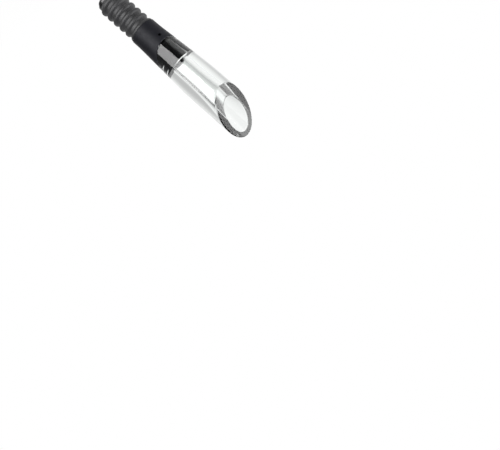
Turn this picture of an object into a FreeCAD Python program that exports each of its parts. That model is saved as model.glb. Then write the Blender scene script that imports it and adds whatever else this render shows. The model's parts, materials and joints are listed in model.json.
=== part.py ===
"""Aerating pourer with a ribbed stopper, a dark collar and a clear spout, in millimetres.

The origin is the centre of the collar's seat, the flat underside from which the stopper hangs.
+Z runs along the axis towards the mouth, and +X points to the long side of the slanted mouth.
The air hole, the low side of the collar's slanted top and the short side of the mouth are at -X.
"""
import FreeCAD, Part
import math
import os

# Outer silhouette, shared by the collar and the spout
NECK_RADIUS = 10.1
BARREL_RADIUS = 13.0
NECK_STRAIGHT_END = 2.0
NECK_BEND_END = 10.0
BARREL_BEND_START = 44.0
BARREL_BEND_END = 60.0

# Clearances
SPOUT_RUNNING_GAP = 0.07
SPOUT_REST_GAP = 0.1
SEAT_GAP = 0.03
STRAINER_RUNNING_GAP = 0.08
TUBE_RUNNING_GAP = 0.2
TUBE_SPIGOT_GAP = 0.05
WEDGE_GAP = 0.2

# Collar
COLLAR_TOP_CENTRE = 23.5
COLLAR_TOP_TILT = 29.0
GRIP_WALL = 1.2
GRIP_EDGE_ROUND = 0.35
AIR_HOLE_HEIGHT = 13.3
AIR_HOLE_RADIUS = 1.1
GASKET_THICKNESS = 0.6

# Inlet stem, which carries the stopper
STEM_RADIUS = 6.9
STEM_BORE_RADIUS = 5.4
STEM_TOP = 9.0
STEM_LENGTH_BELOW_SEAT = 33.0
STEM_COLLAR_FLANGE_RADIUS = 8.0
STEM_COLLAR_FLANGE_THICKNESS = 2.0
STEM_FOOT_RADIUS = 8.2
STEM_FOOT_THICKNESS = 2.0
STEM_SEAL_HEIGHT = 5.0
STEM_SEAL_SECTION = 1.0

# Silicone stopper sleeve
SLEEVE_RADIUS = 8.5
RIB_RADIUS = 9.7
RIB_COUNT = 6
RIB_CREST = 1.5
RIB_FLANK = 0.9
RIB_PITCH = 5.5
SLEEVE_LEAD_IN = 1.2

# Venturi insert
INSERT_BASE_RADIUS = 7.5
INSERT_SPIGOT_RADIUS = 8.5
INSERT_LEDGE_HEIGHT = 9.2
INSERT_SHOULDER_HEIGHT = 16.2
INSERT_NOSE_HEIGHT = 34.6
INSERT_NOSE_CHAMFER = 0.15
CHAMBER_REAR_RADIUS = 3.5
CHAMBER_RADIUS = 4.6
GALLERY_BOTTOM = 11.2
GALLERY_TOP = 15.2
GALLERY_DEPTH = 0.8
AIR_DUCT_RADIUS = 0.6
AIR_DUCT_COVER = 0.45
WINDOW_REAR = 18.9
WINDOW_REAR_WIDTH = 6.8
WINDOW_NOSE_WIDTH = 8.4
WINDOW_CORNER_ROUND = 0.5
GRIP_GROOVE_WIDTH = 0.7
GRIP_GROOVE_DEPTH = 0.6
REAR_GROOVE_HEIGHT = 21.7
REAR_GROOVE_END = -5.5
MIDDLE_GROOVE_HEIGHT = 28.4
FRONT_GROOVE_HEIGHT = 32.6
FRONT_GROOVE_END = -1.5
INSERT_SEAL_HEIGHT = 10.2
INSERT_SEAL_SECTION = 0.8
SEAL_GROOVE_EXTRA_WIDTH = 0.3
SEAL_PROUD = 0.02

# Jet nozzle
NOZZLE_BOTTOM = 13.8
NOZZLE_SHOULDER = 17.6
NOZZLE_TIP = 22.6
NOZZLE_MOUTH_RADIUS = 4.9
NOZZLE_THROAT_RADIUS = 2.3
NOZZLE_TIP_RADIUS = 3.0
NOZZLE_THROAT_HEIGHT = 17.0
NOZZLE_TIP_BEVEL_HEIGHT = 0.5
NOZZLE_TIP_BEVEL_WIDTH = 0.4

# Breather tube and its elbow
TUBE_OFFSET = 2.9
TUBE_RADIUS = 1.5
TUBE_WALL = 0.4
TUBE_TOP = 10.6
TUBE_BOTTOM = -62.0
TUBE_CUT_ANGLE = 45.0
ELBOW_BORE_RADIUS = 0.6
ELBOW_LEG_RADIUS = 1.0
ELBOW_LEG_BORE_RADIUS = 0.5
ELBOW_LEG_HEIGHT = 12.4
ELBOW_BODY_TOP = 13.7
ELBOW_SPIGOT_LENGTH = 4.0

# Strainer
STRAINER_PLUG_LENGTH = 5.0
STRAINER_WALL = 0.8
STRAINER_BRIM_RADIUS = 6.9
STRAINER_BRIM_THICKNESS = 1.4
STRAINER_SPOKE_WIDTH = 0.9
STRAINER_SPOKE_COUNT = 4
STRAINER_BOSS_WALL = 0.6
MESH_THICKNESS = 0.3
MESH_WIRE = 0.35
MESH_PITCH = 1.25

# Clear spout
BORE_FLARE_START = 44.0
BORE_FLARE_END = 100.0
MOUTH_LIP_WALL = 2.2
MOUTH_CENTRE_HEIGHT = 83.0
MOUTH_TILT = 51.2
MOUTH_EDGE_ROUND = 0.5
SPOUT_REAR_ROUND = 0.35

ORIGIN = FreeCAD.Vector(0, 0, 0)
X_AXIS = FreeCAD.Vector(1, 0, 0)
Y_AXIS = FreeCAD.Vector(0, 1, 0)
Z_AXIS = FreeCAD.Vector(0, 0, 1)
AIR_SIDE = FreeCAD.Vector(-1, 0, 0)
EDGE_SLACK = 0.01


def point(radius, height):
    """A point of an outline in the XZ plane."""
    return FreeCAD.Vector(radius, 0, height)


def lines(points):
    """Straight edges from each point to the next."""
    return [Part.makeLine(a, b) for a, b in zip(points, points[1:])]


def revolve(edges):
    """The solid swept by a closed outline of edges about the Z axis."""
    face = Part.Face(Part.Wire(edges))
    return face.revolve(ORIGIN, Z_AXIS, 360)


def revolve_points(points):
    """The solid swept by a closed polygon about the Z axis."""
    return revolve(lines(points + points[:1]))


def disc(radius, bottom, top, x=0.0):
    """A cylinder along Z."""
    return Part.makeCylinder(radius, top - bottom, FreeCAD.Vector(x, 0, bottom))


def side_hole(radius, height, start, end):
    """A cylinder along -X at a height, from one distance off the axis to another."""
    return Part.makeCylinder(radius, end - start, FreeCAD.Vector(-start, 0, height), AIR_SIDE)


def seal_ring(height, section, land_radius):
    """A round-section ring in a groove, just proud of the land around it."""
    outer_radius = land_radius + SEAL_PROUD
    return Part.makeTorus(outer_radius - section / 2, section / 2, FreeCAD.Vector(0, 0, height))


def groove(height, width, root_radius, outer_radius):
    """The space cut by a ring groove from the outside."""
    bottom = height - width / 2
    top = height + width / 2
    return disc(outer_radius + 1, bottom, top).cut(disc(root_radius, bottom, top))


def edges_on_plane(solid, centre, tilt, outside=0.0):
    """The edges of a solid that lie in a slanted plane, further out than a radius."""
    angle = math.radians(tilt)
    normal = FreeCAD.Vector(-math.sin(angle), 0, math.cos(angle))
    foot = FreeCAD.Vector(0, 0, centre)
    found = []
    for edge in solid.Edges:
        samples = edge.discretize(5)
        flat = all(abs(normal.dot(sample - foot)) < EDGE_SLACK for sample in samples)
        if flat and all(math.hypot(sample.x, sample.y) > outside for sample in samples):
            found.append(edge)
    return found


def bend(start, end, start_slope, end_slope):
    """An arc between two outline points, given the slopes of the radius at its ends."""
    middle = (start_slope + end_slope) / 2
    chord = math.hypot(end.x - start.x, end.z - start.z)
    bulge = chord / 2 * math.tan((end_slope - start_slope) / 4)
    centre = (start + end) / 2
    across = FreeCAD.Vector(math.cos(middle), 0, -math.sin(middle))
    return Part.Arc(start, centre - across * bulge, end).toShape()


def flare_angle():
    """The angle of the straight flank that joins the neck to the barrel with tangent bends."""
    rise = BARREL_RADIUS - NECK_RADIUS
    bends = NECK_BEND_END - NECK_STRAIGHT_END + BARREL_BEND_END - BARREL_BEND_START
    flank = BARREL_BEND_START - NECK_BEND_END
    half = 0.0
    for _ in range(20):
        half = rise / (bends + 2 * flank / (1 - half * half))
    return 2 * math.atan(half)


def silhouette_points(inset):
    """The joints of the outer silhouette, set in by a wall, from the seat to the barrel."""
    angle = flare_angle()
    neck = NECK_RADIUS - inset
    neck_rise = (NECK_BEND_END - NECK_STRAIGHT_END) * math.tan(angle / 2)
    barrel = BARREL_RADIUS - inset
    barrel_rise = (BARREL_BEND_END - BARREL_BEND_START) * math.tan(angle / 2)
    return [
        point(neck, 0),
        point(neck, NECK_STRAIGHT_END),
        point(neck + neck_rise, NECK_BEND_END),
        point(barrel - barrel_rise, BARREL_BEND_START),
        point(barrel, BARREL_BEND_END),
    ]


def half_space(centre, tilt, upward=True):
    """A block that fills the space on one side of a plane that rises towards +X."""
    size = 20 * BARREL_RADIUS
    base = 0 if upward else -size
    block = Part.makeBox(size, size, size, FreeCAD.Vector(-size / 2, -size / 2, base))
    block.rotate(ORIGIN, Y_AXIS, -tilt)
    block.translate(FreeCAD.Vector(0, 0, centre))
    return block


def above_tip():
    """A height beyond the tip of the slanted mouth."""
    return MOUTH_CENTRE_HEIGHT + BARREL_RADIUS * (math.tan(math.radians(MOUTH_TILT)) + 1)


def envelope(inset=0.0):
    """The solid inside the outer silhouette, up past the tip of the mouth."""
    top = above_tip()
    base, neck_end, flank_start, flank_end, barrel_start = silhouette_points(inset)
    angle = flare_angle()
    edges = [
        Part.makeLine(base, neck_end),
        bend(neck_end, flank_start, 0, angle),
        Part.makeLine(flank_start, flank_end),
        bend(flank_end, barrel_start, angle, 0),
    ]
    edges += lines([barrel_start, point(barrel_start.x, top), point(0, top), ORIGIN, base])
    return revolve(edges)


def core_top_centre():
    """The height of the core's slanted top on the axis, one gasket below the collar's top."""
    return COLLAR_TOP_CENTRE - GASKET_THICKNESS / math.cos(math.radians(COLLAR_TOP_TILT))


def make_collar_grip():
    """Soft-touch outer shell of the collar, with the air hole and a slanted top."""
    shell = envelope().cut(half_space(COLLAR_TOP_CENTRE, COLLAR_TOP_TILT))
    shell = shell.cut(envelope(GRIP_WALL))
    shell = shell.cut(side_hole(AIR_HOLE_RADIUS, AIR_HOLE_HEIGHT, 0, 2 * NECK_RADIUS))
    rim = edges_on_plane(shell, COLLAR_TOP_CENTRE, COLLAR_TOP_TILT, NECK_RADIUS)
    foot = edges_on_plane(shell, 0, 0, NECK_RADIUS - GRIP_WALL / 2)
    return shell.makeFillet(GRIP_EDGE_ROUND, rim + foot)


def make_collar_core():
    """Rigid body under the grip, which holds the stem and the insert."""
    core = envelope(GRIP_WALL).cut(half_space(core_top_centre(), COLLAR_TOP_TILT))
    top = above_tip()
    core = core.cut(disc(STEM_RADIUS + SEAT_GAP, -1, top))
    core = core.cut(disc(INSERT_BASE_RADIUS + SEAT_GAP, INSERT_LEDGE_HEIGHT, top))
    core = core.cut(disc(INSERT_SPIGOT_RADIUS + SEAT_GAP, INSERT_SHOULDER_HEIGHT, top))
    return core.cut(side_hole(AIR_HOLE_RADIUS, AIR_HOLE_HEIGHT, 0, 2 * NECK_RADIUS))


def make_spout_gasket():
    """Flat slanted ring in the collar's top, on which the rear of the spout lands."""
    ring = envelope(GRIP_WALL + SEAT_GAP)
    ring = ring.cut(half_space(COLLAR_TOP_CENTRE, COLLAR_TOP_TILT))
    ring = ring.cut(half_space(core_top_centre(), COLLAR_TOP_TILT, upward=False))
    return ring.cut(disc(INSERT_SPIGOT_RADIUS + SEAT_GAP, 0, above_tip()))


def make_inlet_stem():
    """Rigid tube through the stopper, with a flange under the collar and a foot."""
    bottom = -STEM_LENGTH_BELOW_SEAT
    stem = disc(STEM_RADIUS, bottom, STEM_TOP)
    stem = stem.fuse(disc(STEM_COLLAR_FLANGE_RADIUS, -STEM_COLLAR_FLANGE_THICKNESS, 0))
    stem = stem.fuse(disc(STEM_FOOT_RADIUS, bottom, bottom + STEM_FOOT_THICKNESS))
    stem = stem.cut(disc(STEM_BORE_RADIUS, bottom - 1, STEM_TOP + 1))
    root = STEM_RADIUS - STEM_SEAL_SECTION
    width = STEM_SEAL_SECTION + SEAL_GROOVE_EXTRA_WIDTH
    stem = stem.cut(groove(STEM_SEAL_HEIGHT, width, root, STEM_RADIUS))
    return stem.removeSplitter()


def sleeve_outline():
    """Outer outline of the ribbed sleeve, from its top to its foot."""
    outline = []
    for index in range(RIB_COUNT):
        crest_top = -index * RIB_PITCH
        if index > 0:
            outline.append(point(SLEEVE_RADIUS, crest_top + RIB_FLANK))
        outline.append(point(RIB_RADIUS, crest_top))
        outline.append(point(RIB_RADIUS, crest_top - RIB_CREST))
        outline.append(point(SLEEVE_RADIUS, crest_top - RIB_CREST - RIB_FLANK))
    return outline


def make_stopper_sleeve():
    """Silicone sleeve with equal ribs that seal in the neck around them."""
    foot = -STEM_LENGTH_BELOW_SEAT + STEM_FOOT_THICKNESS
    inner = STEM_RADIUS + SEAT_GAP
    flange = STEM_COLLAR_FLANGE_RADIUS + SEAT_GAP
    flange_bottom = -STEM_COLLAR_FLANGE_THICKNESS
    outline = sleeve_outline()
    outline.append(point(STEM_FOOT_RADIUS, foot))
    outline.append(point(inner, foot))
    outline.append(point(inner, flange_bottom))
    outline.append(point(flange, flange_bottom))
    outline.append(point(flange, 0))
    return revolve_points(outline)


def gallery_root():
    """The radius of the floor of the air gallery."""
    return INSERT_BASE_RADIUS - GALLERY_DEPTH


def make_venturi_insert():
    """Dark insert: air gallery below, mixing chamber and side window above."""
    shoulder = INSERT_SHOULDER_HEIGHT
    nose = INSERT_NOSE_HEIGHT
    chamfer = INSERT_NOSE_CHAMFER
    seat = STEM_BORE_RADIUS
    insert = revolve_points([
        point(seat, INSERT_LEDGE_HEIGHT),
        point(INSERT_BASE_RADIUS, INSERT_LEDGE_HEIGHT),
        point(INSERT_BASE_RADIUS, shoulder),
        point(INSERT_SPIGOT_RADIUS, shoulder),
        point(INSERT_SPIGOT_RADIUS, nose - chamfer),
        point(INSERT_SPIGOT_RADIUS - chamfer, nose),
        point(CHAMBER_RADIUS, nose),
        point(CHAMBER_REAR_RADIUS, NOZZLE_TIP),
        point(CHAMBER_REAR_RADIUS, NOZZLE_SHOULDER),
        point(seat, NOZZLE_SHOULDER),
    ])
    gallery_height = (GALLERY_BOTTOM + GALLERY_TOP) / 2
    gallery_width = GALLERY_TOP - GALLERY_BOTTOM
    insert = insert.cut(groove(gallery_height, gallery_width, gallery_root(), INSERT_BASE_RADIUS))
    insert = insert.cut(grip_groove(REAR_GROOVE_HEIGHT, REAR_GROOVE_END))
    insert = insert.cut(grip_groove(MIDDLE_GROOVE_HEIGHT, FRONT_GROOVE_END))
    insert = insert.cut(grip_groove(FRONT_GROOVE_HEIGHT, FRONT_GROOVE_END))
    seal_width = INSERT_SEAL_SECTION + SEAL_GROOVE_EXTRA_WIDTH
    seal_root = INSERT_BASE_RADIUS - INSERT_SEAL_SECTION
    insert = insert.cut(groove(INSERT_SEAL_HEIGHT, seal_width, seal_root, INSERT_BASE_RADIUS))
    insert = insert.cut(make_window())
    duct_offset = INSERT_BASE_RADIUS - AIR_DUCT_COVER - AIR_DUCT_RADIUS
    duct = disc(AIR_DUCT_RADIUS, GALLERY_BOTTOM + 1, WINDOW_REAR + 1, -duct_offset)
    insert = insert.cut(duct)
    elbow_hole = side_hole(ELBOW_LEG_RADIUS + SEAT_GAP, ELBOW_LEG_HEIGHT, TUBE_OFFSET, INSERT_BASE_RADIUS)
    return insert.cut(elbow_hole)


def grip_groove(height, end):
    """The space of a ring groove that stops short of the window, at a distance along X."""
    ring = groove(height, GRIP_GROOVE_WIDTH, INSERT_SPIGOT_RADIUS - GRIP_GROOVE_DEPTH, INSERT_SPIGOT_RADIUS)
    size = 4 * INSERT_SPIGOT_RADIUS
    return ring.common(Part.makeBox(size, size, size, FreeCAD.Vector(end, -size / 2, height - size / 2)))


def make_window():
    """A slot in the air side of the insert, open at the nose, that widens with the chamber."""
    depth = 2 * INSERT_SPIGOT_RADIUS
    rear = WINDOW_REAR_WIDTH / 2
    front = WINDOW_NOSE_WIDTH / 2
    top = INSERT_NOSE_HEIGHT + 1
    corners = [
        FreeCAD.Vector(0, -rear, WINDOW_REAR),
        FreeCAD.Vector(0, rear, WINDOW_REAR),
        FreeCAD.Vector(0, front, top),
        FreeCAD.Vector(0, -front, top),
    ]
    slot = Part.Face(Part.Wire(lines(corners + corners[:1]))).extrude(AIR_SIDE * depth)
    rear_edges = [edge for edge in slot.Edges if is_rear_edge(edge)]
    return slot.makeFillet(WINDOW_CORNER_ROUND, rear_edges)


def is_rear_edge(edge):
    """True for an edge of the window's slot that runs along X at its rear."""
    start, end = [vertex.Point for vertex in edge.Vertexes]
    along = abs(start.x - end.x) > EDGE_SLACK
    return along and abs(start.z - WINDOW_REAR) < EDGE_SLACK


def make_jet_nozzle():
    """Funnel that narrows the flow and sends it as a jet into the mixing chamber."""
    outer = STEM_BORE_RADIUS - SEAT_GAP
    return revolve_points([
        point(NOZZLE_MOUTH_RADIUS, NOZZLE_BOTTOM),
        point(outer, NOZZLE_BOTTOM),
        point(outer, NOZZLE_SHOULDER),
        point(NOZZLE_TIP_RADIUS, NOZZLE_SHOULDER),
        point(NOZZLE_TIP_RADIUS, NOZZLE_TIP - NOZZLE_TIP_BEVEL_HEIGHT),
        point(NOZZLE_TIP_RADIUS - NOZZLE_TIP_BEVEL_WIDTH, NOZZLE_TIP),
        point(NOZZLE_THROAT_RADIUS, NOZZLE_TIP),
        point(NOZZLE_THROAT_RADIUS, NOZZLE_THROAT_HEIGHT),
    ])


def make_breather_elbow():
    """Small elbow that joins the breather tube to the air gallery."""
    spigot = TUBE_RADIUS - TUBE_WALL - TUBE_SPIGOT_GAP
    spigot_bottom = TUBE_TOP - ELBOW_SPIGOT_LENGTH
    body_bottom = TUBE_TOP + SEAT_GAP
    elbow = disc(TUBE_RADIUS, body_bottom, ELBOW_BODY_TOP, -TUBE_OFFSET)
    elbow = elbow.fuse(disc(spigot, spigot_bottom, body_bottom + 1, -TUBE_OFFSET))
    leg_end = gallery_root()
    elbow = elbow.fuse(side_hole(ELBOW_LEG_RADIUS, ELBOW_LEG_HEIGHT, TUBE_OFFSET, leg_end))
    bore_top = ELBOW_LEG_HEIGHT + ELBOW_BORE_RADIUS
    elbow = elbow.cut(disc(ELBOW_BORE_RADIUS, spigot_bottom - 1, bore_top, -TUBE_OFFSET))
    leg_bore = side_hole(ELBOW_LEG_BORE_RADIUS, ELBOW_LEG_HEIGHT, TUBE_OFFSET, leg_end + 1)
    return elbow.cut(leg_bore).removeSplitter()


def make_breather_tube():
    """Thin straight tube for the returning air, cut at a slant at its end."""
    tube = disc(TUBE_RADIUS, TUBE_BOTTOM, TUBE_TOP, -TUBE_OFFSET)
    tube = tube.cut(disc(TUBE_RADIUS - TUBE_WALL, TUBE_BOTTOM - 1, TUBE_TOP + 1, -TUBE_OFFSET))
    size = 4 * TUBE_RADIUS
    cutter = Part.makeBox(2 * size, 2 * size, size, FreeCAD.Vector(-size, -size, -size))
    cutter.rotate(ORIGIN, Y_AXIS, TUBE_CUT_ANGLE)
    cutter.translate(FreeCAD.Vector(-TUBE_OFFSET, 0, TUBE_BOTTOM + TUBE_RADIUS))
    return tube.cut(cutter)


def strainer_heights():
    """The top of the strainer's plug, its brim's top and its foot."""
    brim_top = -STEM_LENGTH_BELOW_SEAT - STRAINER_RUNNING_GAP
    return brim_top + STRAINER_PLUG_LENGTH, brim_top, brim_top - STRAINER_BRIM_THICKNESS


def tube_passage(bottom, top, extra=0.0):
    """The clearance hole for the breather tube, with an extra wall where asked."""
    return disc(TUBE_RADIUS + TUBE_RUNNING_GAP + extra, bottom, top, -TUBE_OFFSET)


def make_strainer_cap():
    """Push-in cap with spokes, a brim and a boss for the breather tube."""
    top, brim_top, foot = strainer_heights()
    outer = STEM_BORE_RADIUS - STRAINER_RUNNING_GAP
    inner = outer - STRAINER_WALL
    cap = disc(outer, brim_top, top).fuse(disc(STRAINER_BRIM_RADIUS, foot, brim_top))
    cap = cap.cut(disc(inner, foot - 1, top + 1))
    spoke_top = foot + STRAINER_BRIM_THICKNESS - MESH_THICKNESS
    for index in range(STRAINER_SPOKE_COUNT):
        spoke = Part.makeBox(
            inner + STRAINER_WALL / 2,
            STRAINER_SPOKE_WIDTH,
            spoke_top - foot,
            FreeCAD.Vector(0, -STRAINER_SPOKE_WIDTH / 2, foot),
        )
        spoke.rotate(ORIGIN, Z_AXIS, 360 / STRAINER_SPOKE_COUNT * (index + 0.5))
        cap = cap.fuse(spoke)
    boss = tube_passage(foot, top, STRAINER_BOSS_WALL).common(disc(outer, foot, top))
    cap = cap.fuse(boss)
    return cap.cut(tube_passage(foot - 1, top + 1)).removeSplitter()


def make_strainer_mesh():
    """Fine screen that lies on the spokes of the cap: a thin disc with square openings."""
    _, brim_top, _ = strainer_heights()
    radius = STEM_BORE_RADIUS - STRAINER_RUNNING_GAP - STRAINER_WALL - SEAT_GAP
    bottom = brim_top - MESH_THICKNESS + SEAT_GAP
    top = bottom + MESH_THICKNESS
    plate = disc(radius, bottom, top)
    count = int(radius / MESH_PITCH)
    opening = MESH_PITCH - MESH_WIRE
    holes = []
    for column in range(-count, count + 1):
        for row in range(-count, count + 1):
            x = column * MESH_PITCH
            y = row * MESH_PITCH
            if math.hypot(abs(x) + opening / 2, abs(y) + opening / 2) > radius - MESH_WIRE:
                continue
            corner = FreeCAD.Vector(x - opening / 2, y - opening / 2, bottom - 1)
            holes.append(Part.makeBox(opening, opening, MESH_THICKNESS + 2, corner))
    screen = plate.cut(holes)
    return screen.cut(tube_passage(bottom - 1, top + 1, STRAINER_BOSS_WALL + SEAT_GAP))


def bore_edges(bottom):
    """The outline of the spout's bore: straight, then one long flare to the mouth."""
    top = above_tip()
    start = point(CHAMBER_RADIUS, BORE_FLARE_START)
    end = point(BARREL_RADIUS - MOUTH_LIP_WALL, BORE_FLARE_END)
    end_slope = 2 * math.atan((end.x - start.x) / (end.z - start.z))
    edges = [Part.makeLine(point(CHAMBER_RADIUS, bottom), start), bend(start, end, 0, end_slope)]
    close = [end, point(end.x, top), point(0, top), point(0, bottom), point(CHAMBER_RADIUS, bottom)]
    return edges + lines(close)


def make_spout_tube():
    """Thick clear spout with a flared bore, a slanted rear and a slanted mouth.

    The blank and the bore are turned so that their seams lie at -X. A seam at the tip of the mouth
    makes the STEP file unsound at some wall thicknesses.
    """
    rear = COLLAR_TOP_CENTRE + SPOUT_REST_GAP
    step = INSERT_NOSE_HEIGHT + WEDGE_GAP
    spout = envelope()
    bore = revolve(bore_edges(step))
    for solid in (spout, bore):
        solid.rotate(ORIGIN, Z_AXIS, 180)
    spout = spout.cut(half_space(rear, COLLAR_TOP_TILT, upward=False))
    spout = spout.cut(disc(INSERT_SPIGOT_RADIUS + SPOUT_RUNNING_GAP, 0, step))
    spout = spout.cut(bore)
    spout = spout.cut(half_space(MOUTH_CENTRE_HEIGHT, MOUTH_TILT))
    rear_edge = edges_on_plane(spout, rear, COLLAR_TOP_TILT, NECK_RADIUS)
    spout = spout.makeFillet(SPOUT_REAR_ROUND, rear_edge)
    mouth_edge = edges_on_plane(spout, MOUTH_CENTRE_HEIGHT, MOUTH_TILT)
    return spout.makeFillet(MOUTH_EDGE_ROUND, mouth_edge)


def make_parts():
    """Every piece by the name of its node."""
    return {
        "spout_tube": make_spout_tube(),
        "spout_gasket": make_spout_gasket(),
        "collar_grip": make_collar_grip(),
        "collar_core": make_collar_core(),
        "venturi_insert": make_venturi_insert(),
        "insert_seal_ring": seal_ring(INSERT_SEAL_HEIGHT, INSERT_SEAL_SECTION, INSERT_BASE_RADIUS),
        "jet_nozzle": make_jet_nozzle(),
        "inlet_stem": make_inlet_stem(),
        "stem_seal_ring": seal_ring(STEM_SEAL_HEIGHT, STEM_SEAL_SECTION, STEM_RADIUS),
        "stopper_sleeve": make_stopper_sleeve(),
        "breather_elbow": make_breather_elbow(),
        "breather_tube": make_breather_tube(),
        "strainer_cap": make_strainer_cap(),
        "strainer_mesh": make_strainer_mesh(),
    }


os.makedirs("parts", exist_ok=True)
for name, shape in make_parts().items():
    if not shape.isValid() or shape.Volume <= 0:
        raise RuntimeError(name + " is not a sound solid")
    print(name, len(shape.Solids), round(shape.Volume, 2))
    shape.exportStep("parts/" + name + ".step")
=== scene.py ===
"""Looks of an aerating pourer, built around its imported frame.

Metres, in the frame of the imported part: the origin is the centre of the collar's seat, +Z runs along
the pourer towards its mouth, and the air hole and the short side of the mouth are at -X.
"""
import json
import math

import bmesh
import bpy
from mathutils import Euler, Matrix, Vector


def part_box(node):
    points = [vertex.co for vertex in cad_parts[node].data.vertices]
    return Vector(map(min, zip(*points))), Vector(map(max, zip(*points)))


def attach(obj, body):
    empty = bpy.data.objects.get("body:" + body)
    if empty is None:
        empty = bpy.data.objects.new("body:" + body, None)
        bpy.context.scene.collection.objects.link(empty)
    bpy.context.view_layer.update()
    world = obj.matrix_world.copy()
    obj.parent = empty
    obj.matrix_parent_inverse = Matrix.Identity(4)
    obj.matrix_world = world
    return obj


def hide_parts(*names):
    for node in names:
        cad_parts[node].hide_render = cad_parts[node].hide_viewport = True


bl_info = {
    "name": "Aerating pourer",
    "version": (1, 0, 0),
    "blender": (4, 5, 0),
    "location": "3D View > Sidebar > Pourer",
    "description": "Models and finishes the pieces of an aerating pourer around its packed frame",
    "category": "Object",
}

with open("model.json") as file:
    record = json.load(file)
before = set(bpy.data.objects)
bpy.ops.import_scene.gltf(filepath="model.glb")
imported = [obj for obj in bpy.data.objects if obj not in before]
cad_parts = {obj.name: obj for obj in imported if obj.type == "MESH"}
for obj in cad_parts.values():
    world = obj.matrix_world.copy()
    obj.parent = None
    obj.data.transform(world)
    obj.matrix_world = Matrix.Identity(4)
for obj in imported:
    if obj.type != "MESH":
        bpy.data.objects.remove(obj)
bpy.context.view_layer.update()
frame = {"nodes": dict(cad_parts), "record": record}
SPOUT_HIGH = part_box("spout_tube")[1]
INSERT_LOW, INSERT_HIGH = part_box("venturi_insert")
SLEEVE_LOW, SLEEVE_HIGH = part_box("stopper_sleeve")
STEM_LOW, STEM_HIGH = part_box("inlet_stem")
TUBE_LOW, TUBE_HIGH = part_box("breather_tube")
SCREEN_LOW, SCREEN_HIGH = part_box("strainer_mesh")

MM = 0.001
FULL_TURN = 2 * math.pi
MERGE_DISTANCE = 1e-7
PLANE_SLACK = 1e-6
IN_PLANE = 10 * PLANE_SLACK
CORNER_ANGLE = math.radians(20)
SHARP_ANGLE = math.radians(30)
WIRE_SHARP_ANGLE = math.radians(60)
NORMAL_WEIGHT = 80
FINE_STEPS = 192
COARSE_STEPS = 96
FINE_ROUND_SEGMENTS = 6
ROUND_SEGMENTS = 4
COARSE_ROUND_SEGMENTS = 3
FLANK_ROUNDS = 20
SLANT_ROUNDS = 16
BEND_STEPS = 10
FLARE_STEPS = 10
MOUTH_RING_SHARES = (1.0, 0.86, 0.7, 0.56, 0.42, 0.28, 0.14, 0.0)
WIRE_STEPS_PER_PITCH = 6
LEAST_WIRE_STEPS = 4
WIRE_WAVE = 0.75


def length(name, description, default):
    """A length that a user may change."""
    return bpy.props.FloatProperty(
        name=name, description=description, default=default, min=0.0, unit="LENGTH", subtype="DISTANCE", precision=5
    )


def position(name, description, default):
    """A place along an axis that a user may change, on either side of the origin."""
    return bpy.props.FloatProperty(
        name=name, description=description, default=default, unit="LENGTH", subtype="DISTANCE", precision=5
    )


def angle(name, description, default):
    """An angle that a user may change, given in degrees."""
    return bpy.props.FloatProperty(
        name=name, description=description, default=math.radians(default), unit="ROTATION", subtype="ANGLE"
    )


def colour(name, description, default):
    """A colour that a user may change."""
    return bpy.props.FloatVectorProperty(
        name=name, description=description, default=default, size=4, min=0.0, max=1.0, subtype="COLOR"
    )


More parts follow.
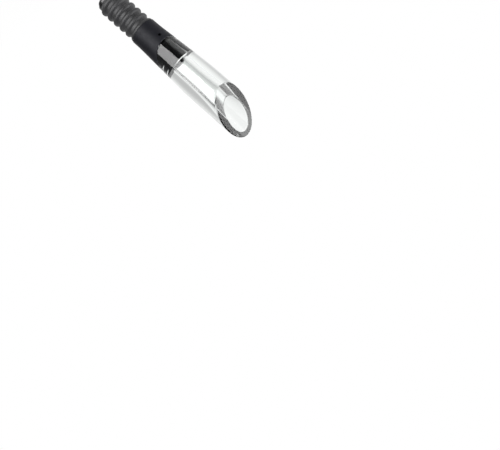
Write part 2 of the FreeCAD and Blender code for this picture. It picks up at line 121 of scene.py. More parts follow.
class PourerSizes(bpy.types.PropertyGroup):
    """Sizes of the pieces that are modelled here.

    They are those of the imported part, but for the tight socket, the wider rounding of the mouth, and the small
    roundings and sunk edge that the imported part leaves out.
    """

    neck_radius: length("Neck radius", "Outer radius of the collar at its seat", 10.1 * MM)
    barrel_radius: length("Barrel radius", "Outer radius of the spout at its widest", SPOUT_HIGH.x)
    neck_straight: length("Neck straight", "Height at which the collar starts to widen", 2.0 * MM)
    neck_bend: length("Neck bend", "Height at which the straight flank starts", 10.0 * MM)
    barrel_bend: length("Barrel bend", "Height at which the straight flank ends", 44.0 * MM)
    barrel_straight: length("Barrel straight", "Height from which the spout is straight", 60.0 * MM)
    collar_top: length("Collar top", "Height of the collar's slanted top on the axis", 23.5 * MM)
    collar_tilt: angle("Collar tilt", "Slant of the collar's top", 29.0)
    rest_gap: length("Rest gap", "Gap between the collar and the spout at rest", 0.1 * MM)
    rear_round: length("Rear round", "Rounding of the outer rear edge of the spout", 0.35 * MM)
    mouth_centre: length("Mouth centre", "Height of the slanted mouth on the axis", 83.0 * MM)
    mouth_tilt: angle("Mouth tilt", "Slant of the mouth", 51.2)
    mouth_lip: length("Mouth lip", "Wall at the tip of the mouth", 2.2 * MM)
    mouth_round: length("Mouth round", "Width of the rounding of the edges of the mouth", 1.2 * MM)
    bore_radius: length("Bore radius", "Radius of the bore before its flare", 4.6 * MM)
    flare_start: length("Flare start", "Height at which the bore starts to flare", 44.0 * MM)
    flare_end: length("Flare end", "Height at which the flare ends", 100.0 * MM)
    socket_radius: length("Socket radius", "Radius of the socket, tight on the insert so that no air shows", 8.48 * MM)
    socket_end: length(
        "Socket end", "Height of the step of the socket, tight on the insert's front", INSERT_HIGH.z - 0.02 * MM
    )

    grip_wall: length("Grip wall", "Wall of the soft grip", 1.2 * MM)
    grip_round: length("Grip round", "Rounding of the edges of the grip", 0.35 * MM)
    air_hole_height: length("Air hole height", "Height of the air hole in the grip", 13.3 * MM)
    air_hole_radius: length("Air hole radius", "Radius of the air hole", 1.1 * MM)
    air_hole_sink: length("Air hole sink", "Width and depth of the sunk edge of the air hole", 0.4 * MM)

    insert_base_radius: length("Insert base radius", "Radius of the insert inside the collar", 7.5 * MM)
    insert_radius: length("Insert radius", "Radius of the insert inside the spout", 8.5 * MM)
    insert_shoulder: length("Insert shoulder", "Height of the shoulder between the two radii", 16.2 * MM)
    insert_ledge: length("Insert ledge", "Height of the insert's underside", INSERT_LOW.z)
    insert_nose: length("Insert nose", "Height of the insert's front face", INSERT_HIGH.z)
    insert_chamfer: length("Insert chamfer", "Chamfer of the insert's nose", 0.15 * MM)
    nozzle_seat_radius: length("Nozzle seat radius", "Radius of the seat of the nozzle", 5.4 * MM)
    nozzle_shoulder: length("Nozzle shoulder", "Height of the end of the nozzle's seat", 17.6 * MM)
    nozzle_tip: length("Nozzle tip", "Height from which the chamber widens", 22.6 * MM)
    chamber_rear: length("Chamber rear", "Radius of the chamber round the nozzle", 3.5 * MM)
    gallery_bottom: length("Gallery bottom", "Lower edge of the air gallery", 11.2 * MM)
    gallery_top: length("Gallery top", "Upper edge of the air gallery", 15.2 * MM)
    gallery_depth: length("Gallery depth", "Depth of the air gallery", 0.8 * MM)
    duct_radius: length("Duct radius", "Radius of the air duct from the gallery to the window", 0.6 * MM)
    duct_offset: length("Duct offset", "Distance of the air duct from the axis", 6.45 * MM)
    window_rear: length("Window rear", "Height of the rear end of the window", 18.9 * MM)
    window_rear_width: length("Window rear width", "Width of the window at its rear", 6.8 * MM)
    window_nose_width: length("Window nose width", "Width of the window at the insert's nose", 8.4 * MM)
    window_round: length("Window round", "Rounding of the rear corners of the window", 0.5 * MM)
    groove_width: length("Groove width", "Width of the grip grooves", 0.7 * MM)
    groove_depth: length("Groove depth", "Depth of the grip grooves", 0.6 * MM)
    rear_groove: length("Rear groove", "Height of the rear grip groove", 21.7 * MM)
    middle_groove: length("Middle groove", "Height of the middle grip groove", 28.4 * MM)
    front_groove: length("Front groove", "Height of the front grip groove", 32.6 * MM)
    rear_groove_end: position("Rear groove end", "Place along X where the rear groove stops", -5.5 * MM)
    groove_end: position("Groove end", "Place along X where the other grooves stop", -1.5 * MM)

    sleeve_radius: length("Sleeve radius", "Radius of the stopper between its ribs", 8.5 * MM)
    rib_radius: length("Rib radius", "Radius of the ribs", SLEEVE_HIGH.x)
    rib_pitch: length("Rib pitch", "Distance from one rib to the next", 5.5 * MM)
    rib_crest: length("Rib crest", "Height of the crest of a rib", 1.5 * MM)
    rib_flank: length("Rib flank", "Height of the slanted flank of a rib", 0.9 * MM)
    rib_round: length("Rib round", "Rounding of the edges of the ribs", 0.4 * MM)
    stem_radius: length("Stem radius", "Outer radius of the inlet stem", 6.9 * MM)
    stem_bore: length("Stem bore", "Radius of the bore of the inlet stem", 5.4 * MM)
    stem_flange: length("Stem flange", "Radius of the flange under the collar", 8.0 * MM)
    stem_foot: length("Stem foot", "Radius of the foot of the stem", 8.2 * MM)
    stem_ledge: length("Stem ledge", "Height of the flange and of the foot", 2.0 * MM)
    stem_round: length("Stem round", "Rounding of the edges of the foot", 0.3 * MM)
    seal_low: length("Seal low", "Lower edge of the seal's groove in the stem", 4.35 * MM)
    seal_high: length("Seal high", "Upper edge of the seal's groove in the stem", 5.65 * MM)
    seal_depth: length("Seal depth", "Depth of the seal's groove in the stem", 1.0 * MM)
    fit_gap: length("Fit gap", "Gap between two pieces that sit tight", 0.03 * MM)

    tube_radius: length("Tube radius", "Outer radius of the breather tube", 1.5 * MM)
    tube_wall: length("Tube wall", "Wall of the breather tube", 0.4 * MM)
    tube_offset: position("Tube offset","Place of the breather tube along X", -2.9 * MM)
    tube_slant: angle("Tube slant", "Slant of the lower end of the breather tube", -45.0)
    tube_round: length("Tube round", "Rounding of the ends of the breather tube", 0.1 * MM)
    screen_radius: length("Screen radius", "Radius of the woven screen", SCREEN_HIGH.x)
    screen_hole: length("Screen hole", "Radius of the screen's hole round the breather tube", 2.33 * MM)
    wire_radius: length("Wire radius", "Radius of the wires of the screen", 0.09 * MM)
    wire_pitch: length("Wire pitch", "Distance from one wire to the next", 0.6 * MM)


class PourerFinishes(bpy.types.PropertyGroup):
    """Colours of the finishes."""

    clear: colour("Clear", "Tint of the clear spout", (0.965, 0.985, 0.975, 1.0))
    charcoal: colour("Charcoal", "Soft-touch grip", (0.0125, 0.0130, 0.0175, 1.0))
    black: colour("Black", "Moulded inner pieces", (0.009, 0.009, 0.010, 1.0))
    silicone: colour("Silicone", "Ribbed stopper", (0.026, 0.026, 0.028, 1.0))
    rubber: colour("Rubber", "Gasket and seal rings", (0.035, 0.035, 0.037, 1.0))
    tube: colour("Tube", "Breather tube", (0.82, 0.84, 0.84, 1.0))
    steel: colour("Steel", "Strainer screen", (0.62, 0.62, 0.62, 1.0))
    floor: colour("Floor", "Floor", (0.86, 0.86, 0.86, 1.0))


def sizes():
    """The sizes of the current scene."""
    return bpy.context.scene.pourer_sizes


def finishes():
    """The colours of the current scene."""
    return bpy.context.scene.pourer_finishes


def arc_points(start, end, start_slope, end_slope):
    """Points of an arc after its start, given the slopes of the outline at the arc's two ends."""
    turn = end_slope - start_slope
    chord = math.hypot(end[0] - start[0], end[1] - start[1])
    bend = chord / 2 / math.sin(turn / 2)
    centre = (start[0] + bend * math.cos(start_slope), start[1] - bend * math.sin(start_slope))
    points = []
    for step in range(1, BEND_STEPS + 1):
        slope = start_slope + turn * step / BEND_STEPS
        points.append((centre[0] - bend * math.cos(slope), centre[1] + bend * math.sin(slope)))
    return points


def flank_angle():
    """The angle of the straight flank that joins the neck to the barrel with tangent bends."""
    size = sizes()
    rise = size.barrel_radius - size.neck_radius
    bends = size.neck_bend - size.neck_straight + size.barrel_straight - size.barrel_bend
    flank = size.barrel_bend - size.neck_bend
    half = 0.0
    for _ in range(FLANK_ROUNDS):
        half = rise / (bends + 2 * flank / (1 - half * half))
    return 2 * math.atan(half)


def silhouette(inset=0.0):
    """Points of the outer outline, set in by a wall, from the seat to the barrel."""
    size = sizes()
    tilt = flank_angle()
    neck = size.neck_radius - inset
    barrel = size.barrel_radius - inset
    flank_start = (neck + (size.neck_bend - size.neck_straight) * math.tan(tilt / 2), size.neck_bend)
    flank_end = (barrel - (size.barrel_straight - size.barrel_bend) * math.tan(tilt / 2), size.barrel_bend)
    points = [(neck, 0.0), (neck, size.neck_straight)]
    points += arc_points(points[-1], flank_start, 0, tilt)
    points.append(flank_end)
    points += arc_points(flank_end, (barrel, size.barrel_straight), tilt, 0)
    return points


def spin_outline(outline, steps=FINE_STEPS, offset=0.0, rounded=()):
    """A closed tube swept about Z by a closed outline of radius and height.

    The offset moves the axis along X. The corners numbered in rounded get an arc of the radius given with them.
    """
    mesh = bmesh.new()
    points = [mesh.verts.new((radius + offset, 0, level)) for radius, level in outline]
    for a, b in zip(points, points[1:] + points[:1]):
        mesh.edges.new((a, b))
    for corners, radius in rounded:
        bmesh.ops.bevel(
            mesh, geom=[points[corner] for corner in corners], offset=radius, offset_type="OFFSET",
            affect="VERTICES", segments=ROUND_SEGMENTS, profile=0.5, material=-1, clamp_overlap=False,
        )
    bmesh.ops.spin(
        mesh, geom=mesh.verts[:] + mesh.edges[:], cent=(offset, 0, 0), axis=(0, 0, 1), angle=FULL_TURN,
        steps=steps, use_merge=True,
    )
    bmesh.ops.remove_doubles(mesh, verts=mesh.verts, dist=MERGE_DISTANCE)
    bmesh.ops.recalc_face_normals(mesh, faces=mesh.faces)
    return mesh


def plane_normal(tilt):
    """The upward normal of a plane that rises towards +X."""
    return Vector((-math.sin(tilt), 0, math.cos(tilt)))


def trim(mesh, centre, tilt, keep_above=False):
    """Cuts a tube at a slanted plane, keeps one side of it, and closes the cut with a flat ring."""
    normal = plane_normal(tilt)
    foot = Vector((0, 0, centre))
    geometry = mesh.verts[:] + mesh.edges[:] + mesh.faces[:]
    bmesh.ops.bisect_plane(
        mesh, geom=geometry, dist=PLANE_SLACK, plane_co=foot, plane_no=normal,
        clear_inner=keep_above, clear_outer=not keep_above,
    )
    bmesh.ops.remove_doubles(mesh, verts=mesh.verts, dist=MERGE_DISTANCE)
    rim = [edge for edge in mesh.edges if edge.is_boundary]
    bmesh.ops.bridge_loops(mesh, edges=rim)
    bmesh.ops.recalc_face_normals(mesh, faces=mesh.faces)


def plane_edges(mesh, centre, tilt, inside=0.0):
    """The corner edges of a mesh that lie in a slanted plane, further from the axis than a distance."""
    normal = plane_normal(tilt)
    foot = Vector((0, 0, centre))
    found = []
    for edge in mesh.edges:
        flat = all(abs(normal.dot(vertex.co - foot)) < IN_PLANE for vertex in edge.verts)
        middle = (edge.verts[0].co + edge.verts[1].co) / 2
        if flat and edge.calc_face_angle(0) > CORNER_ANGLE and middle.xy.length > inside:
            found.append(edge)
    return found


def round_edges(mesh, edges, radius, segments=ROUND_SEGMENTS, measure="OFFSET"):
    """Rounds the given edges. The radius is an offset on the faces, or the width of the rounding."""
    bmesh.ops.bevel(
        mesh, geom=edges, offset=radius, offset_type=measure, affect="EDGES", segments=segments,
        profile=0.5, material=-1, clamp_overlap=False, loop_slide=True,
    )
    bmesh.ops.recalc_face_normals(mesh, faces=mesh.faces)


def settled(data, modifiers=()):
    """The mesh of a mesh or curve, with modifiers applied. Each is given as its type and its settings."""
    carrier = bpy.data.objects.new("carrier", data)
    bpy.context.scene.collection.objects.link(carrier)
    for kind, settings in modifiers:
        modifier = carrier.modifiers.new(kind.lower(), kind)
        for name, value in settings.items():
            setattr(modifier, name, value)
    bpy.context.view_layer.update()
    result = bpy.data.meshes.new_from_object(carrier.evaluated_get(bpy.context.evaluated_depsgraph_get()))
    bpy.data.objects.remove(carrier)
    return result


def carve(mesh, tools):
    """Takes closed tool meshes away from a mesh and returns the result as a new mesh."""
    data = bpy.data.meshes.new("blank")
    mesh.to_mesh(data)
    mesh.free()
    for tool in tools:
        tool_data = bpy.data.meshes.new("tool")
        tool.to_mesh(tool_data)
        tool.free()
        tool_object = bpy.data.objects.new("tool", tool_data)
        bpy.context.scene.collection.objects.link(tool_object)
        data = settled(data, [("BOOLEAN", {"operation": "DIFFERENCE", "solver": "EXACT", "object": tool_object})])
        bpy.data.objects.remove(tool_object)
    carved = bmesh.new()
    carved.from_mesh(data)
    bmesh.ops.remove_doubles(carved, verts=carved.verts, dist=MERGE_DISTANCE)
    return carved


def finish_piece(name, mesh, slot, body, replaced, look=None, sharp=SHARP_ANGLE):
    """Makes an object of a finished mesh, smooth but for its sharp edges, and ties it to its body.

    The look names a finish other than that of the slot.
    """
    data = bpy.data.meshes.new("blank")
    mesh.to_mesh(data)
    mesh.free()
    data.shade_smooth()
    data.set_sharp_from_angle(angle=sharp)
    data = settled(data, [("WEIGHTED_NORMAL", {"keep_sharp": True, "weight": NORMAL_WEIGHT})])
    data.name = name
    data.materials.clear()
    data.materials.append(material_of(look or slot))
    piece = bpy.data.objects.new(name, data)
    bpy.context.scene.collection.objects.link(piece)
    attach(piece, body)
    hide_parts(replaced)


class Wiring:
    """The nodes of a material or of the world, and the ways to join them."""

    def __init__(self, owner):
        owner.use_nodes = True
        self.nodes = owner.node_tree.nodes
        self.links = owner.node_tree.links

    def connect(self, socket, value):
        """Links a socket to the output of another node, or sets it to a plain value."""
        if isinstance(value, bpy.types.NodeSocket):
            self.links.new(value, socket)
        else:
            socket.default_value = value

    def add(self, kind, settings=None, **values):
        """A node with its settings and its inputs."""
        node = self.nodes.new(kind)
        for name, value in (settings or {}).items():
            setattr(node, name, value)
        for name, value in values.items():
            self.connect(node.inputs[name.replace("_", " ")], value)
        return node

    def calculate(self, operation, *values, kind="ShaderNodeMath"):
        """The number that an operation gives for one or more values, or for vectors."""
        node = self.add(kind, {"operation": operation})
        for socket, value in zip(node.inputs, values):
            self.connect(socket, value)
        return node.outputs["Value"]

    def ramp(self, value, low, high, start=0.3, end=0.7):
        """A value mapped to the range from low to high, clamped."""
        mapped = self.add(
            "ShaderNodeMapRange", {"clamp": True}, Value=value,
            From_Min=start, From_Max=end, To_Min=low, To_Max=high,
        )
        return mapped.outputs["Result"]

    def blend(self, share, first, second, data_type="FLOAT", suffix="Float"):
        """A number between two others, by a share."""
        mix = self.add("ShaderNodeMix", {"data_type": data_type})
        for name, value in (("Factor_Float", share), ("A_" + suffix, first), ("B_" + suffix, second)):
            self.connect(next(item for item in mix.inputs if item.identifier == name), value)
        return next(item for item in mix.outputs if item.identifier == "Result_" + suffix)

    def blend_colours(self, share, first, second):
        """A colour between two others, by a share."""
        return self.blend(share, first, second, "RGBA", "Color")


class Finish(Wiring):
    """A procedural material that reads the object's own coordinates."""

    def __init__(self, name, base, roughness, **values):
        self.material = bpy.data.materials.new(name)
        super().__init__(self.material)
        self.shader = self.nodes["Principled BSDF"]
        self.base = base
        self.shader.inputs["Base Color"].default_value = base
        self.shader.inputs["Roughness"].default_value = roughness
        for socket, value in values.items():
            self.shader.inputs[socket.replace("_", " ")].default_value = value
        self.place = self.add("ShaderNodeTexCoord").outputs["Object"]

    def noise(self, grain, detail=2.0, stretch=(1, 1, 1), shift=0.0, roughness=0.5):
        """A noise whose lumps are as large as the grain, stretched along an axis."""
        mapped = self.add(
            "ShaderNodeMapping", Vector=self.place, Location=(shift, shift, shift),
            Scale=[1 / (grain * along) for along in stretch],
        )
        pattern = self.add(
            "ShaderNodeTexNoise", Vector=mapped.outputs[0], Scale=1.0, Detail=detail, Roughness=roughness
        )
        return pattern.outputs["Fac"]

    def shade(self, amount):
        """The base colour made lighter or darker by a share."""
        return [min(1.0, channel * (1 + amount)) for channel in self.base[:3]] + [1.0]

    def drive(self, socket, value):
        """Links a value to a socket of the shader."""
        self.links.new(value, self.shader.inputs[socket])

    def relief(self, heights):
        """Bumps one after another. Each is a pattern and its height in metres."""
        normal = None
        for pattern, tall in heights:
            bump = self.add("ShaderNodeBump", Height=pattern, Distance=tall, Strength=1.0)
            if normal:
                self.links.new(normal, bump.inputs["Normal"])
            normal = bump.outputs["Normal"]
        self.drive("Normal", normal)

    def cover(self, share, other):
        """Gives a share of the surface to another shader."""
        mix = self.add("ShaderNodeMixShader", Fac=share)
        self.links.new(self.shader.outputs["BSDF"], mix.inputs[1])
        self.links.new(other, mix.inputs[2])
        self.links.new(mix.outputs["Shader"], self.nodes["Material Output"].inputs["Surface"])


LIT_THROUGH = (0.9, 0.92, 0.91, 1)
# Width of the band of painted highlight along the grip's slanted rim.
RIM_HIGHLIGHT_WIDTH = 0.55 * MM


def clear_acrylic(name):
    """Polished clear acrylic, faintly wavy, that lets the lamps through to what it holds."""
    finish = Finish(name, finishes().clear, 0.0, Transmission_Weight=1.0, IOR=1.49)
    waves = finish.noise(9 * MM, detail=1.0, stretch=(1, 1, 2.5))
    scratches = finish.noise(0.25 * MM, detail=3.0, stretch=(1, 1, 12), shift=3.1)
    finish.relief([(waves, 0.02 * MM), (finish.ramp(scratches, 0, 1, 0.62, 0.75), 0.0006 * MM)])
    finish.drive("Roughness", finish.ramp(finish.noise(6 * MM, detail=4.0, shift=1.7), 0.0, 0.012))
    open_way = finish.add("ShaderNodeBsdfTransparent", Color=LIT_THROUGH)
    finish.cover(finish.add("ShaderNodeLightPath").outputs["Is Shadow Ray"], open_way.outputs["BSDF"])
    return finish.material


def soft_touch_charcoal(name):
    """Soft-touch coating: matte and finely grained, with a patchy painted highlight along the slanted rim."""
    size = sizes()
    finish = Finish(name, finishes().charcoal, 0.5, Specular_IOR_Level=0.13)
    grain = finish.noise(0.11 * MM, detail=3.0)
    blotches = finish.noise(5 * MM, detail=5.0, roughness=0.6, shift=2.3)
    rim_height = size.collar_top * math.cos(size.collar_tilt)
    level = finish.calculate(
        "DOT_PRODUCT", finish.place, plane_normal(size.collar_tilt), kind="ShaderNodeVectorMath"
    )
    near_rim = finish.ramp(level, 0, 1, rim_height - RIM_HIGHLIGHT_WIDTH, rim_height)
    # Painted highlight: the colour is made much lighter in patches within a thin band along the slanted rim.
    rim_highlight = finish.calculate("MULTIPLY", near_rim, finish.ramp(blotches, 0.1, 0.8, 0.4, 0.65))
    mottled = finish.blend_colours(finish.ramp(blotches, 0, 1), finish.shade(-0.12), finish.shade(0.14))
    finish.drive("Base Color", finish.blend_colours(rim_highlight, mottled, finish.shade(0.9)))
    finish.drive("Roughness", finish.ramp(finish.noise(2.2 * MM, detail=4.0), 0.40, 0.56))
    finish.relief([(grain, 0.006 * MM), (blotches, 0.015 * MM)])
    return finish.material


def black_plastic(name, gloss=0.5):
    """Moulded black plastic, semi-gloss, with a fine moulded skin and faint flow marks."""
    finish = Finish(name, finishes().black, 0.2, Specular_IOR_Level=gloss)
    flow = finish.noise(3 * MM, detail=4.0, stretch=(1, 1, 3), roughness=0.6)
    skin = finish.noise(0.18 * MM, detail=2.0, shift=4.2)
    finish.drive("Base Color", finish.blend_colours(finish.ramp(flow, 0, 1), finish.shade(-0.15), finish.shade(0.25)))
    finish.drive("Roughness", finish.ramp(flow, 0.16, 0.30))
    finish.relief([(skin, 0.0012 * MM), (flow, 0.012 * MM)])
    return finish.material


def tight_black_plastic(name):
    """Moulded black plastic in the clear socket, whose tight fit takes away most of its own gloss."""
    return black_plastic(name, gloss=0.08)


def black_silicone(name):
    """Moulded silicone: satin, with a very fine skin, a bloom of dust and tiny specks."""
    finish = Finish(name, finishes().silicone, 0.45, Specular_IOR_Level=0.4, Sheen_Weight=0.08)
    bloom = finish.noise(7 * MM, detail=6.0, roughness=0.65)
    specks = finish.ramp(finish.noise(0.35 * MM, detail=2.0, shift=5.4), 0, 1, 0.70, 0.78)
    skin = finish.noise(0.14 * MM, detail=3.0, shift=1.2)
    dusty = finish.blend_colours(finish.ramp(bloom, 0, 1), finish.shade(-0.15), finish.shade(0.45))
    finish.drive("Base Color", finish.blend_colours(specks, dusty, finish.shade(2.0)))
    finish.drive("Roughness", finish.ramp(bloom, 0.42, 0.62))
    finish.relief([(skin, 0.004 * MM), (bloom, 0.02 * MM)])
    return finish.material


def seal_rubber(name):
    """Black rubber of the gasket and the seal rings, satin and finely pitted."""
    finish = Finish(name, finishes().rubber, 0.5, Specular_IOR_Level=0.4)
    patches = finish.noise(1.5 * MM, detail=4.0)
    pits = finish.noise(0.12 * MM, detail=2.0, shift=2.8)
    finish.drive("Base Color", finish.blend_colours(finish.ramp(patches, 0, 1), finish.shade(-0.2), finish.shade(0.3)))
    finish.drive("Roughness", finish.ramp(patches, 0.45, 0.62))
    finish.relief([(pits, 0.005 * MM)])
    return finish.material


def tube_plastic(name):
    """Extruded translucent tube, milky, with faint lines along its length."""
    finish = Finish(
        name, finishes().tube, 0.3, Transmission_Weight=0.55, IOR=1.4, Specular_IOR_Level=0.5
    )
    drawn = finish.noise(0.16 * MM, detail=3.0, stretch=(1, 1, 60))
    cloud = finish.noise(6 * MM, detail=4.0, shift=0.9)
    finish.drive("Base Color", finish.blend_colours(finish.ramp(cloud, 0, 1), finish.shade(-0.10), finish.shade(0.05)))
    finish.drive("Roughness", finish.ramp(cloud, 0.24, 0.38))
    finish.relief([(drawn, 0.004 * MM)])
    return finish.material


def mesh_steel(name):
    """Drawn steel wire, bright on its crests and duller between."""
    finish = Finish(name, finishes().steel, 0.3, Metallic=1.0)
    drawn = finish.noise(0.06 * MM, detail=3.0)
    stain = finish.noise(1.8 * MM, detail=5.0, shift=6.1)
    finish.drive("Base Color", finish.blend_colours(finish.ramp(stain, 0, 1), finish.shade(-0.25), finish.shade(0.12)))
    finish.drive("Roughness", finish.ramp(stain, 0.22, 0.42))
    finish.relief([(drawn, 0.002 * MM)])
    return finish.material


FINISH_MAKERS = {
    "clear_acrylic": clear_acrylic,
    "soft_touch_charcoal": soft_touch_charcoal,
    "black_plastic": black_plastic,
    "tight_black_plastic": tight_black_plastic,
    "black_silicone": black_silicone,
    "seal_rubber": seal_rubber,
    "tube_plastic": tube_plastic,
    "mesh_steel": mesh_steel,
}


def material_of(look):
    """The finish of a slot or of a look, made the first time it is asked for."""
    name = look + "_finish"
    return bpy.data.materials.get(name) or FINISH_MAKERS[look](name)


def flare_radius(level):
    """The radius of the spout's bore at a height. The bore is straight, then flares along an arc."""
    size = sizes()
    rise = size.barrel_radius - size.mouth_lip - size.bore_radius
    run = size.flare_end - size.flare_start
    bend = (rise * rise + run * run) / (2 * rise)
    return size.bore_radius + bend - math.sqrt(bend * bend - max(0.0, level - size.flare_start) ** 2)


def slant_mouth(mesh, start):
    """Slants the rings of a spout more and more above a height, so that its flat end meets the mouth's plane."""
    size = sizes()
    for vertex in mesh.verts:
        share = (vertex.co.z - start) / (size.mouth_centre - start)
        radius = vertex.co.xy.length
        if share <= 0 or radius == 0:
            continue
        side = vertex.co.xy / radius
        outside = radius > size.barrel_radius - size.mouth_lip / 2
        level = vertex.co.z
        for _ in range(SLANT_ROUNDS):
            level = vertex.co.z + share * math.tan(size.mouth_tilt) * side.x * radius
            radius = size.barrel_radius if outside else flare_radius(level)
        vertex.co = (side.x * radius, side.y * radius, level)


def make_clear_spout():
    """The thick clear spout, with its socket, flared bore and slanted ends."""
    size = sizes()
    rear = size.collar_top + size.rest_gap
    start = size.barrel_straight
    outline = [point for point in silhouette() if point[1] > size.neck_straight]
    rings = [start + share * (size.mouth_centre - start) for share in MOUTH_RING_SHARES]
    outline += [(size.barrel_radius, level) for level in (rings[1], rings[0])]
    lower = [start + (size.flare_start - start) * step / FLARE_STEPS for step in range(1, FLARE_STEPS + 1)]
    outline += [(flare_radius(level), level) for level in rings + lower]
    outline.append((size.bore_radius, size.socket_end))
    outline.append((size.socket_radius, size.socket_end))
    outline.append((size.socket_radius, outline[0][1]))
    mesh = spin_outline(outline)
    slant_mouth(mesh, start)
    trim(mesh, rear, size.collar_tilt, keep_above=True)
    mid_wall = (size.socket_radius + size.neck_radius) / 2
    outer_rear = plane_edges(mesh, rear, size.collar_tilt, inside=mid_wall)
    round_edges(mesh, outer_rear, size.rear_round, segments=FINE_ROUND_SEGMENTS)
    rims = plane_edges(mesh, size.mouth_centre, size.mouth_tilt)
    round_edges(mesh, rims, size.mouth_round, segments=FINE_ROUND_SEGMENTS, measure="WIDTH")
    finish_piece("clear_spout", mesh, "clear_acrylic", "spout", "spout_tube")


def make_soft_grip():
    """The soft outer shell of the collar, with its slanted rim and the sunk air hole."""
    size = sizes()
    outer = [point for point in silhouette() if point[1] <= size.barrel_bend]
    inner = [point for point in silhouette(size.grip_wall) if point[1] <= size.barrel_bend]
    mesh = spin_outline(outer + inner[::-1])
    trim(mesh, size.collar_top, size.collar_tilt)
    rims = plane_edges(mesh, size.collar_top, size.collar_tilt)
    rims += plane_edges(mesh, 0, 0, inside=size.neck_radius - size.grip_wall / 2)
    round_edges(mesh, rims, size.grip_round)
    surface = size.neck_radius + (size.air_hole_height - size.neck_bend / 2) * math.tan(flank_angle())
    sideways = Matrix.Translation((-surface, 0, size.air_hole_height)) @ Matrix.Rotation(-math.pi / 2, 4, "Y")
    hole = bmesh.new()
    bmesh.ops.create_cone(
        hole, cap_ends=True, segments=COARSE_STEPS, radius1=size.air_hole_radius, radius2=size.air_hole_radius,
        depth=4 * size.grip_wall, matrix=sideways,
    )
    sink = bmesh.new()
    reach = size.air_hole_sink
    bmesh.ops.create_cone(
        sink, cap_ends=True, segments=COARSE_STEPS, radius1=size.air_hole_radius - reach,
        radius2=size.air_hole_radius + 2 * reach, depth=3 * reach,
        matrix=sideways @ Matrix.Translation((0, 0, reach / 2)),
    )
    finish_piece("soft_grip", carve(mesh, [hole, sink]), "soft_touch_charcoal", "pourer_body", "collar_grip")


def groove_tool(level, end):
    """The space of a ring groove round the insert, which stops short of the window at a place along X."""
    size = sizes()
    low, high = level - size.groove_width / 2, level + size.groove_width / 2
    inner, outer = size.insert_radius - size.groove_depth, size.insert_radius + size.groove_depth
    tool = spin_outline([(inner, low), (outer, low), (outer, high), (inner, high)])
    bmesh.ops.bisect_plane(
        tool, geom=tool.verts[:] + tool.edges[:] + tool.faces[:], dist=PLANE_SLACK, plane_co=(end, 0, 0),
        plane_no=(1, 0, 0), clear_inner=True,
    )
    bmesh.ops.holes_fill(tool, edges=[edge for edge in tool.edges if edge.is_boundary])
    bmesh.ops.recalc_face_normals(tool, faces=tool.faces)
    return tool


def window_tool():
    """The slot of the insert's window, which widens towards the nose."""
    size = sizes()
    rear, front = size.window_rear_width / 2, size.window_nose_width / 2
    top = size.insert_nose + MM
    tool = bmesh.new()
    corners = [(0, -rear, size.window_rear), (0, rear, size.window_rear), (0, front, top), (0, -front, top)]
    face = tool.faces.new([tool.verts.new(corner) for corner in corners])
    pushed = bmesh.ops.extrude_face_region(tool, geom=[face])["geom"]
    moved = [item for item in pushed if isinstance(item, bmesh.types.BMVert)]
    bmesh.ops.translate(tool, verts=moved, vec=(-2 * size.insert_radius, 0, 0))
    bmesh.ops.recalc_face_normals(tool, faces=tool.faces)
    lengthwise = [
        edge for edge in tool.edges
        if abs(edge.verts[0].co.x - edge.verts[1].co.x) > MM and edge.verts[0].co.z < size.window_rear + MM
    ]
    round_edges(tool, lengthwise, size.window_round)
    return tool


def make_insert():
    """The dark insert in the socket: gallery, grooves, window and widening chamber."""
    size = sizes()
    chamfer = size.insert_chamfer
    nose = size.insert_nose
    mesh = spin_outline([
        (size.nozzle_seat_radius, size.insert_ledge),
        (size.insert_base_radius, size.insert_ledge),
        (size.insert_base_radius, size.gallery_bottom),
        (size.insert_base_radius - size.gallery_depth, size.gallery_bottom),
        (size.insert_base_radius - size.gallery_depth, size.gallery_top),
        (size.insert_base_radius, size.gallery_top),
        (size.insert_base_radius, size.insert_shoulder),
        (size.insert_radius, size.insert_shoulder),
        (size.insert_radius, nose - chamfer),
        (size.insert_radius - chamfer, nose),
        (size.bore_radius, nose),
        (size.chamber_rear, size.nozzle_tip),
        (size.chamber_rear, size.nozzle_shoulder),
        (size.nozzle_seat_radius, size.nozzle_shoulder),
    ])
    duct = bmesh.new()
    duct_length = size.window_rear + MM - size.gallery_bottom
    bmesh.ops.create_cone(
        duct, cap_ends=True, segments=COARSE_STEPS // 2, radius1=size.duct_radius, radius2=size.duct_radius,
        depth=duct_length,
        matrix=Matrix.Translation((-size.duct_offset, 0, size.gallery_bottom + MM + duct_length / 2)),
    )
    mesh = carve(mesh, [
        groove_tool(size.rear_groove, size.rear_groove_end),
        groove_tool(size.middle_groove, size.groove_end),
        groove_tool(size.front_groove, size.groove_end),
        window_tool(),
        duct,
    ])
    finish_piece("venturi_core", mesh, "black_plastic", "pourer_body", "venturi_insert", "tight_black_plastic")


def make_ribbed_stopper():
    """The silicone sleeve with its rounded ribs."""
    size = sizes()
    outline = []
    count = 1 + int((SLEEVE_HIGH.z - SLEEVE_LOW.z - size.rib_crest) / size.rib_pitch)
    crests = []
    roots = []
    for index in range(count):
        crest_top = -index * size.rib_pitch
        if index > 0:
            roots.append(len(outline))
            outline.append((size.sleeve_radius, crest_top + size.rib_flank))
        crests += [len(outline), len(outline) + 1]
        outline.append((size.rib_radius, crest_top))
        outline.append((size.rib_radius, crest_top - size.rib_crest))
        roots.append(len(outline))
        outline.append((size.sleeve_radius, crest_top - size.rib_crest - size.rib_flank))
    foot = SLEEVE_LOW.z
    inner = size.stem_radius + size.fit_gap
    flange = size.stem_flange + size.fit_gap
    outline += [(size.stem_foot, foot), (inner, foot), (inner, -size.stem_ledge)]
    outline += [(flange, -size.stem_ledge), (flange, 0)]
    mesh = spin_outline(outline, rounded=[(crests, size.rib_round), (roots[:-1], size.rib_round)])
    finish_piece("ribbed_stopper", mesh, "black_silicone", "pourer_body", "stopper_sleeve")


